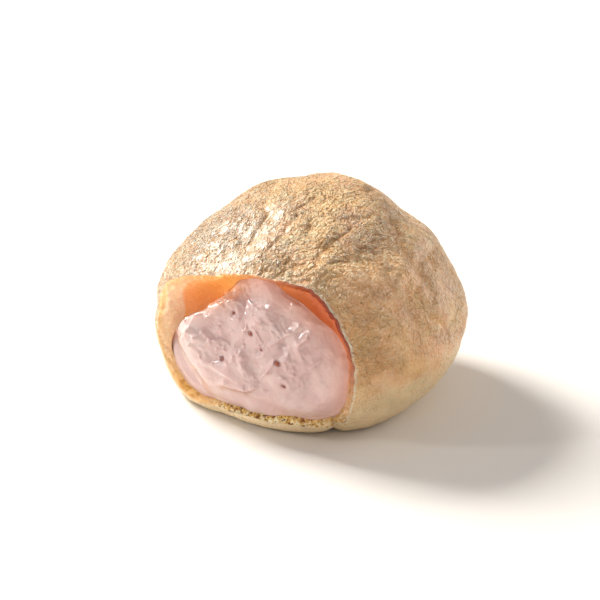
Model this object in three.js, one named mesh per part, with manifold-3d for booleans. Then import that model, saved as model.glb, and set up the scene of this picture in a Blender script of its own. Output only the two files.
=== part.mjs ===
// A cream puff with its front cut away: a baked choux crust, and the strawberry cream that fills it.
// Millimetres, +Z up. The origin is the centre of the base. The opening faces -Y.
import * as THREE from "three";
import { ParametricGeometry } from "three/addons/geometries/ParametricGeometry.js";
import { mergeVertices } from "three/addons/utils/BufferGeometryUtils.js";
import Module from "manifold-3d";

const wasm = await Module();
wasm.setup();

const { MathUtils } = THREE;
const { smoothstep, lerp, degToRad: rad, radToDeg: deg } = MathUtils;

// A unit vector by compass: azimuth runs from the front (-Y) towards +X, elevation up from the level.
function compass(azimuth, elevation) {
  const [a, e] = [rad(azimuth), rad(elevation)];
  return new THREE.Vector3(
    Math.cos(e) * Math.sin(a),
    -Math.cos(e) * Math.cos(a),
    Math.sin(e),
  );
}

const azimuthOf = ({ x, y }) => deg(Math.atan2(x, -y));
const elevationOf = ({ z }) => deg(Math.asin(MathUtils.clamp(z, -1, 1)));

// A bell curve: 1 at the middle, and falling away to 0 past the given half width.
const bell = (x, middle, half) => Math.exp(-(((x - middle) / half) ** 2));

// ---- The crust's outside -------------------------------------------------------------------------

// Every surface is a distance from HEART, the middle of the puff at its widest level.
const HEART = new THREE.Vector3(0, 0, 24);
const BODY_HALF_WIDTH = 43;
const BODY_UP = 33;
const BODY_DOWN = 30.5;
const MEAN_RADIUS = 40;

// Where the dough rose in swellings: azimuth and elevation of each, how far out its middle lies, and
// its radius.
const SWELLINGS = [
  [-67, 11, 19, 22],
  [-133, 43, 12, 27.5],
  [-176, 59, 10.5, 26.5],
  [157, 61, 20, 20],
  [128, 4.5, 12, 29.5],
  [65, -14, 13.5, 24.5],
  [-74, -27, 19.5, 25],
  [-163, 2, 15, 27],
  [-112, -6, 14, 28],
].map(([azimuth, elevation, out, radius]) => ({
  middle: compass(azimuth, elevation).multiplyScalar(out),
  radius,
}));
const SWELLING_SHARPNESS = 0.75; // per mm: how tight the valley between two swellings is
const BASE_SHARPNESS = 1.2; // per mm: how tight the bend into the flat base is
const BASE_PRESS = 0.25; // how far the base is pressed flat

// The crust is tucked in below the opening: compass point, half widths in degrees, depth.
const TUCK = { azimuth: -4, elevation: -22, across: 24, along: 10, depth: 4.5 };

// Furrows where the skin folded as it cooled, from one compass point to another, with their depth.
const FURROW_HALF_WIDTH = 2.6;
const FURROWS = [
  [-45, 70, -24, 59, 0.7],
  [-24, 59, -16, 43, 1.3],
  [70, 60, 51, 54, 0.6],
  [51, 54, 33, 42, 1.2],
  [53, 45, 70, 44, 0.4],
  [70, 44, 76, 31, 0.4],
  [130, 48, 95, 41, 0.9],
  [120, 30, 92, 33, 0.8],
  [-83, 40, -50, 45, 0.6],
  [-50, 45, -24, 40, 0.5],
  [22, 41, 24, 37, 0.9],
  [-155, 52, -128, 22, 0.9],
  [172, 44, 148, 12, 0.9],
  [-104, 32, -88, 6, 0.8],
  [-160, 20, -178, 2, 0.7],
  [44, -25, 42, -44, 1.6],
].map(([azimuth0, elevation0, azimuth1, elevation1, depth]) => ({
  start: compass(azimuth0, elevation0),
  end: compass(azimuth1, elevation1),
  depth,
}));

// The crinkled skin: low swells, and pads with creases between them. Both fade out on the smooth band
// round the base.
const SWELL_LENGTH = 17;
const SWELL_HEIGHT = 0.3;
const WRINKLE_LENGTH = 11;
const WRINKLE_HEIGHT = 0.4;
const BAND_TOP = 2; // degrees of elevation
const BAND_BOTTOM = -16;

// A sum of plane waves of one length, their directions on a golden spiral: an even, random-looking field
// near +-1.
const WAVES = 9;
const GOLDEN_ANGLE = Math.PI * (3 - Math.sqrt(5));
function waves(point, length, seed) {
  let sum = 0;
  for (let i = 0; i < WAVES; i++) {
    const z = 1 - (2 * i + 1) / WAVES;
    const turn = GOLDEN_ANGLE * i + seed;
    const level = Math.sqrt(1 - z * z);
    const along =
      point.x * level * Math.cos(turn) +
      point.y * level * Math.sin(turn) +
      point.z * z;
    sum += Math.sin((2 * Math.PI * along) / length + seed * (i + 1));
  }
  return (sum * 1.4) / Math.sqrt(WAVES);
}

// How deep all furrows together cut at a direction: each is a round groove along a straight chord.
function furrowDepth(direction) {
  const chord = new THREE.Line3();
  const nearest = new THREE.Vector3();
  return FURROWS.reduce((sum, { start, end, depth }) => {
    chord.set(start, end).closestPointToPoint(direction, true, nearest);
    const away = nearest.distanceTo(direction) * MEAN_RADIUS;
    return sum + depth * bell(away, 0, FURROW_HALF_WIDTH);
  }, 0);
}

// How far from HEART a sphere's far side lies along a direction, or its nearest pass where the ray
// misses it.
function reachOf({ middle, radius }, direction) {
  const along = direction.dot(middle);
  const inside = along * along - middle.lengthSq() + radius * radius;
  return along + Math.sqrt(Math.max(inside, 0));
}

// The larger (sharpness above 0) or the smaller (below 0) of some numbers, rounded off where they meet.
function blended(values, sharpness) {
  const top =
    sharpness > 0 ? Math.max(...values) : Math.min(...values);
  const sum = values.reduce(
    (s, v) => s + Math.exp(sharpness * (v - top)),
    0,
  );
  return top + Math.log(sum) / sharpness;
}

// The crust without its skin's relief: an egg-like body and its swellings, cut off flat below.
function plainRadius(direction) {
  const vertical = direction.z > 0 ? BODY_UP : BODY_DOWN;
  const body =
    1 /
    Math.hypot(
      Math.hypot(direction.x, direction.y) / BODY_HALF_WIDTH,
      direction.z / vertical,
    );
  const risen = blended(
    [body, ...SWELLINGS.map((s) => reachOf(s, direction))],
    SWELLING_SHARPNESS,
  );
  const tuck =
    TUCK.depth *
    bell(azimuthOf(direction), TUCK.azimuth, TUCK.across) *
    bell(elevationOf(direction), TUCK.elevation, TUCK.along);
  if (direction.z > -0.05) return risen - tuck;
  const base = (HEART.z + BASE_PRESS) / -direction.z;
  return blended([risen, base], -BASE_SHARPNESS) - tuck;
}

function skinRadius(direction) {
  const plain = plainRadius(direction);
  const point = direction.clone().multiplyScalar(plain);
  const rough = smoothstep(elevationOf(direction), BAND_BOTTOM, BAND_TOP);
  const swell = SWELL_HEIGHT * waves(point, SWELL_LENGTH, 4.7);
  const wrinkle =
    WRINKLE_HEIGHT * (Math.abs(waves(point, WRINKLE_LENGTH, 1.1)) - 0.8);
  return plain + rough * (swell + wrinkle) - furrowDepth(direction);
}

// A point at some distance from HEART, never below the ground.
function placed(direction, distance, target) {
  target.copy(direction).multiplyScalar(distance).add(HEART);
  target.z = Math.max(target.z, 0);
  return target;
}

// ---- The opening ---------------------------------------------------------------------------------

// Directions are also given about the opening's axis: the angle off it, and the clock angle round it.
// Clock angle 0 is towards +X, 90 degrees is up.
const OPENING_TILT = 6;
const AXIS = compass(0, OPENING_TILT);
const ACROSS = new THREE.Vector3(1, 0, 0);
const UPWARD = new THREE.Vector3().crossVectors(ACROSS, AXIS).negate();

function about(clock, off, target) {
  const side = Math.sin(off);
  return target
    .copy(AXIS)
    .multiplyScalar(Math.cos(off))
    .addScaledVector(ACROSS, side * Math.cos(clock))
    .addScaledVector(UPWARD, side * Math.sin(clock));
}

// A smooth closed run through values at even clock angles, the first at angle 0.
function roundTheClock(values) {
  const n = values.length;
  return (clock) => {
    const place = ((clock / (2 * Math.PI)) * n + n) % n;
    const i = Math.floor(place);
    const t = place - i;
    const [a, b, c, d] = [-1, 0, 1, 2].map((k) => values[(i + k + n) % n]);
    return (
      b +
      0.5 *
        t *
        (c - a + t * (2 * a - 5 * b + 4 * c - d + t * (3 * (b - c) + d - a)))
    );
  };
}

// The rim's angle off the axis, a value for every 15 degrees of the clock: right, top, left, foot.
const RIM_DEGREES = roundTheClock([
  45.7, 43.5, 41.7, 40.2, 35.6, 32.4,
  31.2, 30.5, 31.6, 35.2, 41.8, 50.5,
  48.5, 51, 57.5, 55.8, 46, 39.9,
  38.4, 39, 42, 52.5, 50.8, 47.5,
]);

// Below right the rim runs down into the cleft between two folds of the foot.
const CLEFT = { clock: rad(320), halfTurn: rad(5), reach: 3.2 };

// The wall's thickness at the rim, a value for every 30 degrees.
const RIM_WALL = roundTheClock([
  2, 1.8, 1.6, 1.4, 1.8, 2.8, 3.4, 2.4, 2.2, 1.6, 2.4, 2.3,
]);
const BACK_WALL = 2.4;
const WALL_REACH = rad(28); // how far behind the rim the wall takes to even out

// How many degrees wide the cut through the wall is, at the same clock angles as the rim.
const CUT_DEGREES = roundTheClock([
  1.0, 0.9, 0.8, 0.8, 0.8, 0.8,
  0.8, 0.9, 1.5, 2.8, 4.6, 7.5,
  4.5, 1.8, 1.8, 1.9, 1.2, 0.9,
  0.8, 1.3, 2.3, 4.5, 1.8, 1.4,
]);

// Where the lining begins, in degrees off the axis. Webs of dough span what is left up to the cut: a
// broad one across the upper left corner, and a narrow one down the right.
const INNER_DEGREES = roundTheClock([
  44.6, 41.5, 36, 33.2, 31, 31.4,
  30.4, 29.4, 28, 28.5, 30.5, 33.8,
  42.5, 48.8, 55.3, 53.6, 44.6, 38.7,
  37.4, 37.5, 39.5, 47.6, 48.8, 45.9,
]);
const MIN_WEB = rad(0.4);

// How much thicker the web makes the wall where the lining begins.
const WEB_DEPTH = roundTheClock([
  1, 1.5, 3, 3.2, 2.5, 0.6,
  0.6, 1.5, 4, 6, 8, 8.5,
  3.5, 0.2, 0, 0, 0, 0,
  0, 0, 0, 0, 0, 0.3,
]);
const WEB_RISE = rad(5); // over how many degrees inside the lining's edge the cream rises past it
const WEB_FALL = [rad(58), rad(88)]; // off the axis, where the thickening runs out again
const CORNER_LIFT = 0.25; // how far the cut's inner corner stands proud of the lining
const EDGE_ROUND = 0.5; // how far the cut bulges
const WEB_SAG = 0.8; // how far a broad web sags
const BROAD_WEB = 6;

// The shorter way round between two clock angles.
const turnBetween = (a, b) => Math.atan2(Math.sin(a - b), Math.cos(a - b));

function rimOff(clock) {
  const cleft = CLEFT.reach * bell(turnBetween(clock, CLEFT.clock), 0, CLEFT.halfTurn);
  return rad(RIM_DEGREES(clock) + cleft);
}

function cutEnd(clock) {
  return rimOff(clock) - rad(CUT_DEGREES(clock));
}

function innerOff(clock) {
  return Math.min(rad(INNER_DEGREES(clock)), cutEnd(clock) - MIN_WEB);
}

function wallThickness(clock, off) {
  const even = smoothstep(off - rimOff(clock), 0, WALL_REACH);
  const web =
    Math.max(WEB_DEPTH(clock), 0) *
    smoothstep(off - innerOff(clock), -WEB_RISE, 0) *
    (1 - smoothstep(off, ...WEB_FALL));
  return lerp(RIM_WALL(clock), BACK_WALL, even) + web;
}

// How far from HEART the crust's inner side lies.
function liningRadius(direction, clock, off) {
  return plainRadius(direction) - wallThickness(clock, off);
}

// ---- The crust -----------------------------------------------------------------------------------

const CRUST_COLUMNS = 80;
const SKIN_ROWS = 42;
const EDGE_ROWS = 8;
const LINING_ROWS = 16;
const CRUST_ROWS = SKIN_ROWS + EDGE_ROWS + LINING_ROWS;

function skinPoint(clock, off, target) {
  const direction = about(clock, off, new THREE.Vector3());
  return placed(direction, skinRadius(direction), target);
}

function liningPoint(clock, off, target) {
  const direction = about(clock, off, new THREE.Vector3());
  return placed(direction, liningRadius(direction, clock, off), target);
}

// The front edge at a share of its length: from the rim over the rounded cut to the cut's inner corner,
// and on over the sagging web to where the lining begins.
function edgePoint(clock, share, target) {
  const rim = skinPoint(clock, rimOff(clock), new THREE.Vector3());
  const direction = about(clock, cutEnd(clock), new THREE.Vector3());
  const thickness = RIM_WALL(clock) - CORNER_LIFT;
  const corner = new THREE.Vector3();
  placed(direction, plainRadius(direction) - thickness, corner);
  const inner = liningPoint(clock, innerOff(clock), new THREE.Vector3());
  const cutLength = rim.distanceTo(corner);
  const webLength = corner.distanceTo(inner);
  const run = share * (cutLength + webLength);
  if (run < cutLength) {
    const t = run / cutLength;
    return target
      .copy(rim)
      .lerp(corner, t)
      .addScaledVector(AXIS, EDGE_ROUND * Math.sin(Math.PI * t));
  }
  const t = (run - cutLength) / webLength;
  const sag = WEB_SAG * Math.min(webLength / BROAD_WEB, 1) * Math.sin(Math.PI * t);
  return target.copy(corner).lerp(inner, t).addScaledVector(AXIS, -sag);
}

// From the back of the skin forward to the rim, over the front edge, and back along the lining.
function crustPoint(u, v, target) {
  const clock = 2 * Math.PI * u;
  const row = Math.round(v * CRUST_ROWS);
  if (row <= SKIN_ROWS) {
    return skinPoint(clock, lerp(Math.PI, rimOff(clock), row / SKIN_ROWS), target);
  }
  if (row < SKIN_ROWS + EDGE_ROWS) {
    edgePoint(clock, (row - SKIN_ROWS) / EDGE_ROWS, target);
    target.z = Math.max(target.z, 0);
    return target;
  }
  const t = (row - SKIN_ROWS - EDGE_ROWS) / LINING_ROWS;
  return liningPoint(clock, lerp(innerOff(clock), Math.PI, t), target);
}

// ---- The cream -----------------------------------------------------------------------------------

const CREAM_GAP = 0.5; // between the cream and the crust that it fills
const BEND_GAP = 0.9; // added to it round the tight bend into the base
const EDGE_GAP = 0.8; // added to it along the lining's edge
const EDGE_GAP_TURN = rad(6);
const FACE_DISTANCE = 29.2; // from HEART forward to the cream's front face
const FACE_BULGE = 3;
const FACE_RADIUS = 26;
const FACE_SHARPNESS = 1.3; // per mm: how tight the face's shoulder is
const CREAM_FOLD_LENGTH = 13;
const CREAM_FOLD_HEIGHT = 0.75;

function creamRadius(direction, clock, off) {
  // All clock angles meet on the axis, so whatever turns with them starts from 0 there.
  const grip = smoothstep(off, 0, rad(12));
  const wall = wallThickness(clock, off);
  const gap =
    CREAM_GAP +
    BEND_GAP * smoothstep(-direction.z, 0.2, 0.5) +
    EDGE_GAP * bell(off, innerOff(clock), EDGE_GAP_TURN);
  const filled = plainRadius(direction) - grip * wall - gap;
  if (off > Math.PI / 2.2) return filled;
  const fromMiddle = (FACE_DISTANCE * Math.tan(off)) / FACE_RADIUS;
  const flat = FACE_DISTANCE + FACE_BULGE * (1 - Math.min(fromMiddle ** 2, 1.6));
  const face = flat / Math.cos(off);
  const point = direction.clone().multiplyScalar(face);
  const fold = CREAM_FOLD_HEIGHT * waves(point, CREAM_FOLD_LENGTH, 4.1);
  return blended([filled, face + fold], -FACE_SHARPNESS);
}

const CREAM_COLUMNS = 54;
const BURIED_ROWS = 16;
const FACE_ROWS = 12;
const CREAM_ROWS = BURIED_ROWS + FACE_ROWS;

// From the back forward to where the lining ends, and on over the open face.
function creamPoint(u, v, target) {
  const clock = 2 * Math.PI * u;
  const row = Math.round(v * CREAM_ROWS);
  const edge = innerOff(clock);
  const off =
    row < BURIED_ROWS
      ? lerp(Math.PI, edge, row / BURIED_ROWS)
      : edge * (1 - (row - BURIED_ROWS) / FACE_ROWS);
  const direction = about(clock, off, new THREE.Vector3());
  return placed(direction, creamRadius(direction, clock, off), target);
}

// Strawberry seeds that stand a little out of the cream: compass point, length.
const SEED_SHAPE = [0.5, 0.42, 0.36]; // half sizes for a seed of length 1
const SEEDS = [
  [15.1, 0.2, 1.9],
  [-0.1, 11.4, 1.4],
  [-16, -5.5, 1.5],
  [17.9, -10.4, 1.3],
  [-11.2, 18.9, 1.1],
  [5.9, 4.4, 1.1],
];

function seedGeometry([azimuth, elevation, length], index) {
  const direction = compass(azimuth, elevation);
  const off = direction.angleTo(AXIS);
  const clock = Math.atan2(direction.dot(UPWARD), direction.dot(ACROSS));
  const [x, y, z] = SEED_SHAPE.map((half) => half * length);
  const seed = new THREE.IcosahedronGeometry(1, 1);
  seed.scale(x, y, z).rotateY(index);
  const middle = new THREE.Vector3();
  placed(direction, creamRadius(direction, clock, off), middle);
  return seed.translate(middle.x, middle.y, middle.z);
}

// ---- Solids and meshes ---------------------------------------------------------------------------

function toSolid(geometry) {
  const bare = geometry.clone();
  bare.deleteAttribute("normal");
  bare.deleteAttribute("uv");
  const merged = mergeVertices(bare, 1e-3);
  return new wasm.Manifold(
    new wasm.Mesh({
      numProp: 3,
      vertProperties: merged.attributes.position.array,
      triVerts: new Uint32Array(merged.index.array),
    }),
  );
}

function toGeometry(solid) {
  const mesh = solid.getMesh();
  const geometry = new THREE.BufferGeometry();
  geometry.setAttribute(
    "position",
    new THREE.BufferAttribute(mesh.vertProperties, 3),
  );
  geometry.setIndex(new THREE.BufferAttribute(mesh.triVerts, 1));
  geometry.computeVertexNormals();
  return geometry;
}

const crustGeometry = new ParametricGeometry(
  crustPoint,
  CRUST_COLUMNS,
  CRUST_ROWS,
);
const creamBody = new ParametricGeometry(creamPoint, CREAM_COLUMNS, CREAM_ROWS);
const creamSolid = SEEDS.map(seedGeometry)
  .map(toSolid)
  .reduce((solid, seed) => solid.add(seed), toSolid(creamBody));

function piece(name, geometry, color, roughness) {
  const material = new THREE.MeshStandardMaterial({
    color,
    roughness,
    metalness: 0,
  });
  const mesh = new THREE.Mesh(geometry, material);
  mesh.name = name;
  return mesh;
}

const puff = new THREE.Group();
puff.name = "cream_puff";
puff.add(piece("crust", crustGeometry, "#d2b083", 0.6));
puff.add(piece("cream", toGeometry(creamSolid), "#e6c3c0", 0.35));

export default puff;
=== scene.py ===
from math import radians

import bpy
import numpy as np
from mathutils import Matrix, Vector


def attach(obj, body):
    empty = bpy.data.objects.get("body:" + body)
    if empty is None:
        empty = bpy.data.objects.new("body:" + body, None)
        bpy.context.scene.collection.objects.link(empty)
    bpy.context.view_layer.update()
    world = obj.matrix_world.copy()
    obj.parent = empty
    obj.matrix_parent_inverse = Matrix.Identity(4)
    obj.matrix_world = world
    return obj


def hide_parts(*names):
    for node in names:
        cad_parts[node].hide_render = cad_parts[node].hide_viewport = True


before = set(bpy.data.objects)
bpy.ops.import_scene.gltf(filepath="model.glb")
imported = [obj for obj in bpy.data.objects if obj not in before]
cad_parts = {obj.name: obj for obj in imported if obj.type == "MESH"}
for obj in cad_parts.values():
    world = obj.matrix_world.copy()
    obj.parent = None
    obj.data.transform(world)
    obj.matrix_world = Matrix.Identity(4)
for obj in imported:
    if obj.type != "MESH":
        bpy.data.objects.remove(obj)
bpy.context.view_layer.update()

# ---- The crust ----------------------------------------------------------------------------------
# The baked choux bun: a hollow ball of egg dough that rose in swellings, then wrinkled and set as it
# cooled. It sat on a tray, so its base is flat and the band above the base stayed smooth and pale. The
# front was cut away with a knife, which leaves the thin wall showing all round the opening.

MM = 0.001
HEART = np.array([0.0, 0.0, 24.0])  # the middle of the bun at its widest level; lengths here are in mm
BODY_HALF_WIDTH = 43.0
BODY_UP = 33.0
BODY_DOWN = 30.5
MEAN_RADIUS = 40.0
SWELLINGS = [  # azimuth, elevation, how far out the middle lies, radius
    (-67, 11, 19, 22), (-133, 43, 12, 27.5), (-176, 59, 10.5, 26.5), (157, 61, 20, 20),
    (128, 4.5, 12, 29.5), (65, -14, 13.5, 24.5), (-74, -27, 19.5, 25), (-163, 2, 15, 27),
    (-112, -6, 14, 28),
]
SWELLING_SHARPNESS = 0.75  # per mm: how tight the valleys between the swellings are
BASE_SHARPNESS = 1.2  # per mm: how tight the bend into the flat base is
BASE_PRESS = 0.25  # how far the base is pressed flat
BASE_FROM = -0.05  # the base plane counts for ways whose vertical part lies below this
TUCK = dict(azimuth=-4, elevation=-22, across=24, along=10, depth=4.5)


def compass(azimuth, elevation):
    """Unit vectors: azimuth turns from the front (-Y) towards +X, elevation rises from the level."""
    a, e = np.radians(azimuth), np.radians(elevation)
    return np.stack([np.cos(e) * np.sin(a), -np.cos(e) * np.cos(a), np.sin(e)], -1)


def azimuth_of(way):
    """The compass angle of each unit vector, in degrees."""
    return np.degrees(np.arctan2(way[..., 0], -way[..., 1]))


def elevation_of(way):
    """The angle of each unit vector above the level, in degrees."""
    return np.degrees(np.arcsin(np.clip(way[..., 2], -1, 1)))


def bell(x, middle, half):
    """A bell: 1 at the middle, and e to the minus square of the distance in half widths."""
    return np.exp(-(((x - middle) / half) ** 2))


def ramp(x, low, high):
    """0 below low, 1 above high, and the smooth cubic 3t^2 - 2t^3 between."""
    t = np.clip((x - low) / (high - low), 0, 1)
    return t * t * (3 - 2 * t)


def bell_round(turn, middle, half):
    """A bell round a circle: the same formula, of the shorter way round from the middle to a turn. The
    turn comes in radians, and the middle and the half width in degrees."""
    away = turn - radians(middle)
    return bell(np.arctan2(np.sin(away), np.cos(away)), 0, radians(half))


def blended(values, sharpness):
    """The largest value (sharpness above 0) or the smallest, as the log of summed exponentials."""
    values = np.stack(values)
    top = values.max(0) if sharpness > 0 else values.min(0)
    return top + np.log(np.exp(sharpness * (values - top)).sum(0)) / sharpness


def plain_radius(way):
    """Distance from HEART to the bun's skin without relief: an ellipsoid softly joined with spheres,
    cut flat by the soft minimum with the base plane, less a bell-shaped tuck below the opening."""
    vertical = np.where(way[..., 2] > 0, BODY_UP, BODY_DOWN)
    level = np.hypot(way[..., 0], way[..., 1]) / BODY_HALF_WIDTH
    reaches = [1 / np.hypot(level, way[..., 2] / vertical)]
    for azimuth, elevation, out, radius in SWELLINGS:
        middle = compass(azimuth, elevation) * out
        along = way @ middle
        reaches.append(along + np.sqrt(np.maximum(along**2 - middle @ middle + radius**2, 0)))
    risen = blended(reaches, SWELLING_SHARPNESS)
    base = (HEART[2] + BASE_PRESS) / -np.minimum(way[..., 2], BASE_FROM)
    pressed = np.where(way[..., 2] > BASE_FROM, risen, blended([risen, base], -BASE_SHARPNESS))
    across = bell(azimuth_of(way), TUCK["azimuth"], TUCK["across"])
    along = bell(elevation_of(way), TUCK["elevation"], TUCK["along"])
    return pressed - TUCK["depth"] * across * along


WAVES = 9
GOLDEN_ANGLE = np.pi * (3 - np.sqrt(5))


def waves(points, length, seed):
    """A sum of plane waves of one length, their directions on a golden spiral."""
    total = 0
    for i in range(WAVES):
        z = 1 - (2 * i + 1) / WAVES
        turn = GOLDEN_ANGLE * i + seed
        level = np.sqrt(1 - z * z)
        along = points @ np.array([level * np.cos(turn), level * np.sin(turn), z])
        total += np.sin(2 * np.pi * along / length + seed * (i + 1))
    return total * 1.4 / np.sqrt(WAVES)


def grain(points, length, seed):
    """Gradient noise near -1..1: at each corner of a lattice a hashed direction, dotted with the way to
    the point, and the eight corners mixed by the quintic 6t^5 - 15t^4 + 10t^3."""
    p = points / length + seed * 17.31
    cell = np.floor(p).astype(np.int64)
    t = p - cell
    fade = t * t * t * (t * (t * 6 - 15) + 10)
    total = 0
    for corner in np.ndindex(2, 2, 2):
        at = cell + corner
        key = (at[..., 0] * 73856093) ^ (at[..., 1] * 19349663)
        key = key ^ (at[..., 2] * 83492791) ^ (seed * 2654435)
        key = (key ^ (key >> 13)) * 1274126177 & 0x7FFFFFFF
        key = (key ^ (key >> 15)) * 668265263 & 0x7FFFFFFF
        z = (key & 0x3FF) / 511.5 - 1
        turn = ((key >> 10) & 0xFFFF) / 65536 * 2 * np.pi
        level = np.sqrt(np.maximum(1 - z * z, 0))
        off = t - corner
        dot = off[..., 0] * level * np.cos(turn) + off[..., 1] * level * np.sin(turn) + off[..., 2] * z
        share = np.prod(np.where(np.array(corner) == 1, fade, 1 - fade), axis=-1)
        total += dot * share
    return total * 1.6


def layered(points, length, seed, layers=3, gain=0.5):
    """Noise summed over layers, each half as long as the last and gain times as high."""
    return sum(gain**i * grain(points, length / 2**i, seed + i) for i in range(layers))


def ridged(noise):
    """Sharp crests: 1 on the noise's zero lines, falling to 0 as the square of the way from them."""
    return (1 - np.minimum(np.abs(noise) * 1.6, 1)) ** 2


def pads(points, length, seed, width=0.14):
    """Puffed pads with narrow creases between them, which lie on the zero lines of a two-layer noise:
    1 less e to the minus distance from them."""
    return 1 - np.exp(-np.abs(layered(points, length, seed, 2, 0.4)) / width)


CREASES = [  # depth, widths of the left and right banks, then the bends as azimuth, elevation pairs
    (0.8, 3.0, 0.5, (-66, 69), (-50, 68), (-35, 68.5), (-29, 63), (-24, 57.5), (-20, 52), (-15, 45)),
    (0.5, 1.6, 0.4, (67, 86), (13, 82), (1, 77.5), (5, 71), (2, 67), (3, 61), (4, 55), (1, 51.5)),
    (0.6, 0.6, 1.5, (72, 61.5), (61.5, 59.5), (46.5, 55), (38.5, 51), (36, 47), (33.5, 43.5)),
    (0.3, 0.5, 0.9, (57.5, 45), (69, 42.5), (71.5, 37.5), (80.5, 32.5)),
    (1.0, 2.0, 1.8, (112.5, 54), (103.5, 47), (94, 42), (90, 38), (90, 28), (80, 24.5)),
    (0.6, 0.6, 1.6, (82.5, 13.5), (89.5, 7), (92, -2)), (0.8, 0.6, 1.0, (-28, 51), (-22.5, 46.5)),
    (0.9, 0.5, 1.4, (-38, 51), (-33, 47), (-26, 42)), (0.6, 1.6, 0.6, (-89, 59.5), (-75, 60)),
    (0.8, 1.3, 1.3, (20, 44), (27, 44.5)), (0.6, 1.3, 0.6, (28, 72), (27, 67)),
    (0.5, 1.4, 1.0, (-83, 40), (-56, 36), (-50, 45), (-24, 40)),
    (0.8, 2.0, 2.0, (120, 30), (92, 33)), (0.9, 2.4, 0.8, (-155, 52), (-140, 40), (-128, 22)),
    (0.9, 0.9, 2.4, (172, 44), (155, 30), (148, 12)), (0.8, 2.0, 1.0, (-104, 32), (-92, 20), (-88, 6)),
    (0.7, 1.0, 2.0, (-160, 20), (-172, 12), (-178, 2)), (1.1, 0.8, 2.2, (130, 66), (150, 58), (176, 60)),
    (0.7, 1.6, 0.8, (-120, 62), (-142, 66), (-160, 74)),
    (2.0, 1.8, 1.8, (44, -25), (42, -44)),
]


def off_chord(way, start, end):
    """How far unit vectors lie from the chord between two others, and on which side of it: 1 straight to
    its left as seen from outside, -1 to its right, and between these round its ends."""
    chord = end - start
    t = np.clip(((way - start) @ chord) / (chord @ chord), 0, 1)[..., None]
    gap = way - start - t * chord
    away = np.linalg.norm(gap, axis=-1) + 1e-6
    leftward = np.cross(way, chord / np.linalg.norm(chord))
    return away, (leftward * gap).sum(-1) / away


BOTTOM_WIDTH = 0.5  # of the painted shade line at the bottom of a crease, in mm


def creased(way, points):
    """How deep the creases cut, and how near each point lies to their bottoms, which carry a line of
    painted shade. Each runs along chords between its bends, jogged by noise, and falls off as e to the
    minus distance in bank widths, its bottom as e to the minus distance in bottom widths. Where two
    meet, the deeper counts."""
    jog = 0.014 * np.stack([grain(points, 5, 31 + k) for k in range(3)], -1)
    jog += 0.009 * np.stack([grain(points, 1.9, 34 + k) for k in range(3)], -1)
    deepest, bottom = np.zeros((2, *way.shape[:-1]))
    for depth, left, right, *bends in CREASES:
        corners = [compass(*bend) for bend in bends]
        for start, end in zip(corners, corners[1:]):
            away, side = off_chord(way + jog, start, end)
            width = right + (left - right) * (0.5 + 0.5 * side)
            deepest = np.maximum(deepest, depth * np.exp(-away * MEAN_RADIUS / width))
            bottom = np.maximum(bottom, min(depth, 1) * np.exp(-away * MEAN_RADIUS / BOTTOM_WIDTH))
    return deepest, bottom


# The opening: an axis through its middle, with the angle off it and the clock angle round it.
AXIS = compass(0, 6)
ACROSS = np.array([1.0, 0, 0])
UPWARD = -np.cross(ACROSS, AXIS)
RIM_DEGREES = [  # off the axis, a value for every 15 degrees of the clock: right, top, left, foot
    45.7, 43.5, 41.7, 40.2, 35.6, 32.4, 31.2, 30.5, 31.6, 35.2, 41.8, 50.5,
    48.5, 51, 57.5, 55.8, 46, 39.9, 38.4, 39, 42, 52.5, 50.8, 47.5,
]
RIM_WALL = [  # the wall's thickness at the rim, a value for every 30 degrees
    2, 1.8, 1.6, 1.4, 1.8, 2.8, 3.4, 2.4, 2.2, 1.6, 2.4, 2.3,
]
BACK_WALL = 2.4
WALL_REACH = radians(28)  # how far behind the rim the wall takes to even out
CUT_DEGREES = [  # how wide the cut through the wall is, at the same clock angles as the rim
    1.0, 0.9, 0.8, 0.8, 0.8, 0.8, 0.8, 0.9, 1.5, 2.8, 4.6, 7.5,
    4.5, 1.8, 1.8, 1.9, 1.2, 0.9, 0.8, 1.3, 2.3, 4.5, 1.8, 1.4,
]
INNER_DEGREES = [  # off the axis, where the lining begins; dough webs span what is left up to the cut
    44.6, 41.5, 36, 33.2, 31, 31.4, 30.4, 29.4, 28, 28.5, 30.5, 33.8,
    42.5, 48.8, 55.3, 53.6, 44.6, 38.7, 37.4, 37.5, 39.5, 47.6, 48.8, 45.9,
]
WEB_DEPTH = [  # how much thicker the wall is at that inner edge
    1, 1.5, 3, 3.2, 2.5, 0.6, 0.6, 1.5, 4, 6, 8, 8.5, 3.5, 0.2, 0, 0, 0, 0, 0, 0, 0, 0, 0, 0.3,
]
WEB_RISE = radians(5)  # over how many degrees the webs thicken
WEB_END = (radians(58), radians(88))  # off the axis, where they run out again
FLESH_WIDTH = [  # how far in from the skin the wall's flesh shows, as a share of the cut's width
    1, 1, 1, 1, 1, 0.9, 0.6, 0.45, 0.4, 0.4, 0.6, 1.15, 1.5, 1, 1, 1, 1, 1, 1, 1, 1, 1, 1, 1,
]
EDGE_ROUND = 0.6  # how far the cut bulges
WEB_SAG, BROAD_WEB = 0.8, 6  # how far a web sags, and from what breadth on
HOLE_DEPTH = 0.8  # of the crumb's holes


def about(clock, off):
    """Unit vectors at an angle off the opening's axis and a clock angle round it."""
    side = np.sin(off)
    return (
        np.cos(off)[..., None] * AXIS
        + (side * np.cos(clock))[..., None] * ACROSS
        + (side * np.sin(clock))[..., None] * UPWARD
    )


def round_the_clock(values, clock):
    """A closed Catmull-Rom curve through values at even clock angles."""
    values, n = np.asarray(values, float), len(values)
    place = (clock / (2 * np.pi) * n) % n
    i = np.floor(place).astype(int)
    t = place - i
    a, b, c, d = [values[(i + k) % n] for k in (-1, 0, 1, 2)]
    return b + 0.5 * t * (c - a + t * (2 * a - 5 * b + 4 * c - d + t * (3 * (b - c) + d - a)))


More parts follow.
